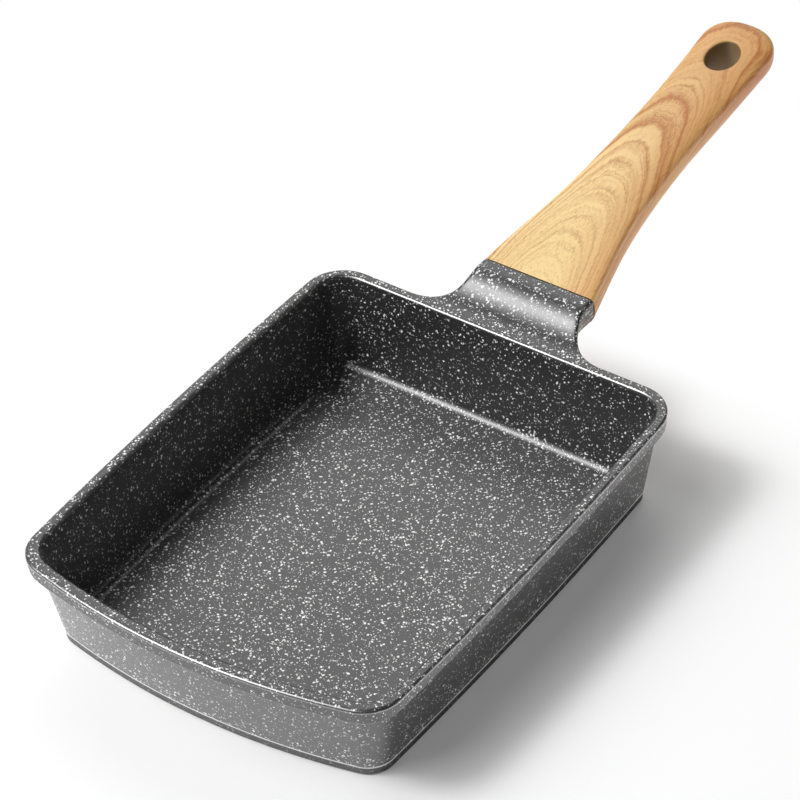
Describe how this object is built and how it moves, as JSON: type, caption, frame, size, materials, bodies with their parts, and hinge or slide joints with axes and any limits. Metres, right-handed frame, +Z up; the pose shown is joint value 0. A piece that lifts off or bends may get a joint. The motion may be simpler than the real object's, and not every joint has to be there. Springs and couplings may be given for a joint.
{
  "type": "rectangular omelette pan",
  "caption": "Rectangular rolled-omelette frying pan with upright tapered walls, a bowed front edge, a cast neck and a long wood-look grip with a hanging hole.",
  "frame": {"origin": "on the surface that the pan stands on, midway between the rim's long sides and 87.3 mm in front of the rim's rear edge", "axes": "+Z up, +Y from the vessel along the grip to its tip, the bowed front edge faces -Y, X across the pan"},
  "size_m": [0.1428, 0.3412, 0.0646],
  "materials": {
    "pan_body": "dark grey non-stick coating with dense off-white stone flecks, satin, over cast aluminium",
    "induction_plate": "pressed magnetic stainless steel, fine brushed",
    "handle_grip": "phenolic moulding with a printed light wood-grain film, satin lacquer",
    "handle_screw": "bright zinc plate",
    "plain_washer": "bright zinc plate",
    "spring_washer": "dark spring steel"
  },
  "bodies": {
    "root": {"pan_body": "pan_body", "induction_plate": "induction_plate", "handle_grip": "handle_grip", "handle_screw": "handle_screw", "plain_washer": "plain_washer", "spring_washer": "spring_washer"}
  },
  "joints": []
}
